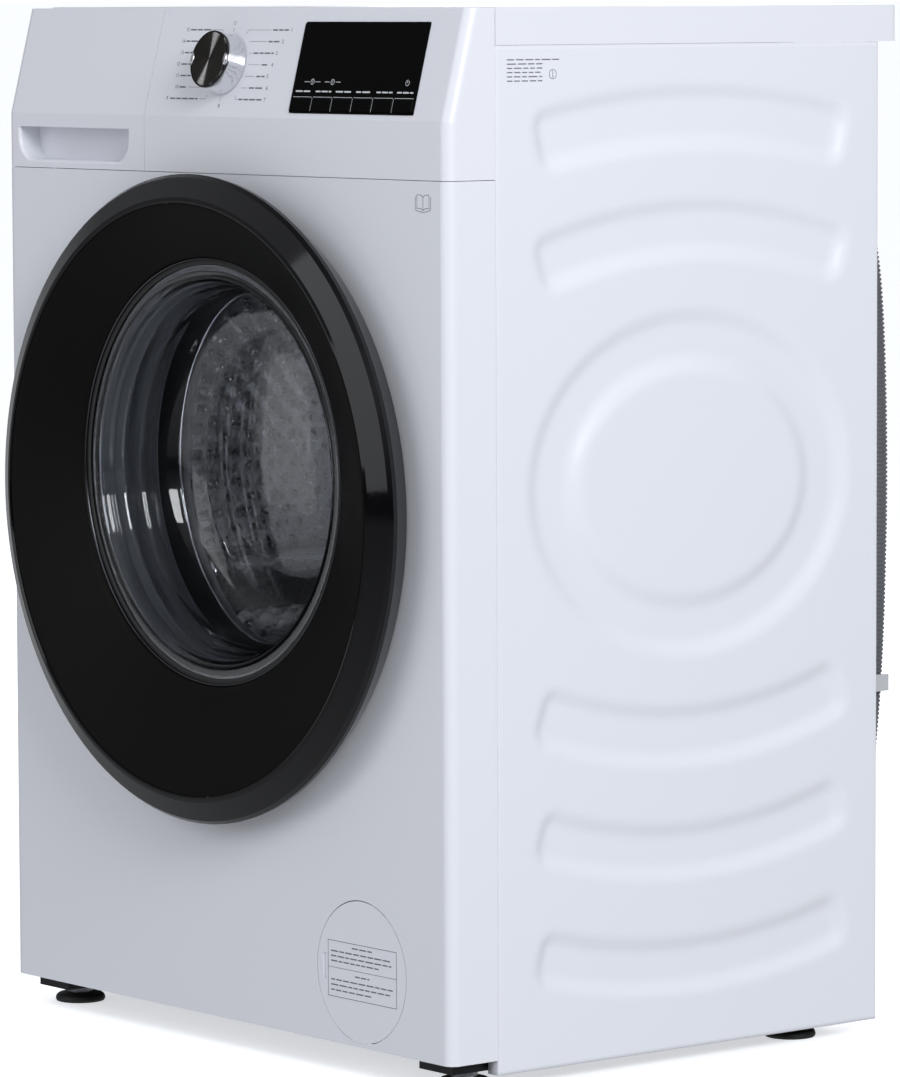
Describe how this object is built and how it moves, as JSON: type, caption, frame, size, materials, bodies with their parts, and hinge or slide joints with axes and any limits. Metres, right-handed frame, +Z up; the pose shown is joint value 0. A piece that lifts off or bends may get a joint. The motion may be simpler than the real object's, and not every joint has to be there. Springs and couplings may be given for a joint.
{
  "type": "front load washing machine",
  "caption": "Slim white front-loading washing machine with a black dished round door, a leaning fascia with a knob and display, a detergent drawer and beaded side panels.",
  "frame": {"origin": "on the floor under the feet, centred across the width and between the door's front and the hose behind", "axes": "+X to the right seen from the front, the front faces -Y, +Z up"},
  "size_m": [0.595, 0.52, 0.85],
  "materials": {
    "white_enamel": "gloss white enamel",
    "white_plastic": "gloss white moulding",
    "black_gloss": "piano black",
    "charcoal_matte": "fine matte charcoal",
    "tinted_glass": "dark tinted bowl glass",
    "knob_metal": "spun metal face, satin body",
    "stainless": "brushed stainless steel",
    "zinc_steel": "zinc-plated steel",
    "cast_alloy": "cast alloy",
    "concrete": "rough grey concrete",
    "grey_plastic": "grey filled polypropylene",
    "black_plastic": "matte black",
    "grey_rubber": "soft grey rubber",
    "black_rubber": "matte black rubber",
    "hose_grey": "corrugated dark grey hose",
    "clip_grey": "light grey clip"
  },
  "bodies": {
    "cabinet": {"front_panel": "white_enamel", "right_side_panel": "white_enamel", "left_side_panel": "white_enamel", "rear_panel": "zinc_steel", "rear_access_cover": "zinc_steel", "transit_bolt_caps": "black_plastic", "base_frame": "black_plastic", "worktop": "white_plastic", "top_crossbar": "zinc_steel", "control_panel": "white_plastic", "display_window": "black_gloss", "dispenser_housing": "grey_plastic", "inlet_valve": "black_plastic", "door_hinge_bracket": "zinc_steel", "door_hinge_pin": "zinc_steel", "door_lock": "black_plastic", "door_gasket": "grey_rubber", "drain_pump": "grey_plastic", "drain_hose": "hose_grey", "drain_elbow": "grey_plastic", "hose_clips": "clip_grey", "mains_gland": "black_plastic", "suspension_springs": "zinc_steel", "damper_cylinders": "zinc_steel", "sump_hose": "black_rubber"},
    "door": {"door_outer_ring": "black_gloss", "door_face_ring": "charcoal_matte", "door_glass": "tinted_glass", "door_back_ring": "black_plastic", "door_hinge_arm": "zinc_steel"},
    "hook": {"door_hook": "zinc_steel"},
    "tub": {"tub_front": "grey_plastic", "tub_rear": "grey_plastic", "drum_bearings": "zinc_steel", "counterweights": "concrete", "motor": "cast_alloy", "drive_belt": "black_rubber", "heater": "zinc_steel", "damper_rods": "zinc_steel"},
    "drum": {"drum_shell": "stainless", "drum_lifters": "stainless", "drum_spider": "cast_alloy", "drum_pulley": "cast_alloy"},
    "motor_rotor": {"motor_pulley": "cast_alloy"},
    "knob": {"programme_knob": "knob_metal"},
    "drawer": {"drawer_front": "white_plastic", "detergent_tray": "white_plastic"},
    "flap": {"filter_cover": "white_plastic"},
    "filter": {"pump_filter": "grey_plastic"},
    "impeller": {"pump_impeller": "grey_plastic"},
    "key_1": {"key_1": "black_gloss"},
    "key_2": {"key_2": "black_gloss"},
    "key_3": {"key_3": "black_gloss"},
    "key_4": {"key_4": "black_gloss"},
    "key_5": {"key_5": "black_gloss"},
    "key_6": {"key_6": "black_gloss"},
    "foot_front_left": {"foot_front_left": "black_rubber"},
    "foot_front_right": {"foot_front_right": "black_rubber"},
    "foot_rear_left": {"foot_rear_left": "black_rubber"},
    "foot_rear_right": {"foot_rear_right": "black_rubber"}
  },
  "joints": [
    {"name": "door_hinge", "type": "hinge", "parent": "cabinet", "child": "door", "pos_m": [-0.242, -0.244, 0.452], "axis": [0, 0, -1], "range_deg": [0, 130]},
    {"name": "hook_pivot", "type": "hinge", "parent": "door", "child": "hook", "pos_m": [0.206, -0.232, 0.4734], "axis": [0, 0, 1], "range_deg": [0, 8], "stiffness_Nm_per_rad": 0.5, "springref_deg": -5.73},
    {"name": "tub_float", "type": "slide", "parent": "cabinet", "child": "tub", "axis": [0, 0, 1], "range_m": [-0.01, 0.01], "stiffness_N_per_m": 12000, "springref_m": 0.0247, "deforming": ["suspension_springs", "sump_hose", "door_gasket"]},
    {"name": "drum_spin", "type": "hinge", "parent": "tub", "child": "drum", "pos_m": [0, 0, 0.4734], "axis": [0, 1, 0], "continuous": true},
    {"name": "motor_spin", "type": "hinge", "parent": "tub", "child": "motor_rotor", "pos_m": [0.11, 0, 0.15], "axis": [0, 1, 0], "continuous": true},
    {"name": "programme_select", "type": "hinge", "parent": "cabinet", "child": "knob", "pos_m": [0, -0.20903, 0.80359], "axis": [0, -0.9677, 0.2522], "continuous": true},
    {"name": "drawer_slide", "type": "slide", "parent": "cabinet", "child": "drawer", "axis": [0, -1, 0], "range_m": [0, 0.17]},
    {"name": "filter_flap", "type": "hinge", "parent": "cabinet", "child": "flap", "pos_m": [0.2333, -0.22, 0.0849], "axis": [0, 0, 1], "range_deg": [0, 90]},
    {"name": "filter_turn", "type": "hinge", "parent": "cabinet", "child": "filter", "pos_m": [0.1843, -0.2, 0.0849], "axis": [0, 1, 0], "range_deg": [0, 90]},
    {"name": "impeller_spin", "type": "hinge", "parent": "cabinet", "child": "impeller", "pos_m": [0.1843, -0.07, 0.0849], "axis": [0, 1, 0], "continuous": true},
    {"name": "key_1_press", "type": "slide", "parent": "cabinet", "child": "key_1", "axis": [0, 0.9677, -0.2522], "range_m": [0, 0.001], "stiffness_N_per_m": 800, "springref_m": -0.001},
    {"name": "key_2_press", "type": "slide", "parent": "cabinet", "child": "key_2", "axis": [0, 0.9677, -0.2522], "range_m": [0, 0.001], "stiffness_N_per_m": 800, "springref_m": -0.001},
    {"name": "key_3_press", "type": "slide", "parent": "cabinet", "child": "key_3", "axis": [0, 0.9677, -0.2522], "range_m": [0, 0.001], "stiffness_N_per_m": 800, "springref_m": -0.001},
    {"name": "key_4_press", "type": "slide", "parent": "cabinet", "child": "key_4", "axis": [0, 0.9677, -0.2522], "range_m": [0, 0.001], "stiffness_N_per_m": 800, "springref_m": -0.001},
    {"name": "key_5_press", "type": "slide", "parent": "cabinet", "child": "key_5", "axis": [0, 0.9677, -0.2522], "range_m": [0, 0.001], "stiffness_N_per_m": 800, "springref_m": -0.001},
    {"name": "key_6_press", "type": "slide", "parent": "cabinet", "child": "key_6", "axis": [0, 0.9677, -0.2522], "range_m": [0, 0.001], "stiffness_N_per_m": 800, "springref_m": -0.001},
    {"name": "foot_front_left_level", "type": "slide", "parent": "cabinet", "child": "foot_front_left", "axis": [0, 0, -1], "range_m": [0, 0.015]},
    {"name": "foot_front_right_level", "type": "slide", "parent": "cabinet", "child": "foot_front_right", "axis": [0, 0, -1], "range_m": [0, 0.015]},
    {"name": "foot_rear_left_level", "type": "slide", "parent": "cabinet", "child": "foot_rear_left", "axis": [0, 0, -1], "range_m": [0, 0.015]},
    {"name": "foot_rear_right_level", "type": "slide", "parent": "cabinet", "child": "foot_rear_right", "axis": [0, 0, -1], "range_m": [0, 0.015]}
  ],
  "couplings": [
    {"joint": "motor_spin", "follows": "drum_spin", "ratio": 11.788}
  ]
}
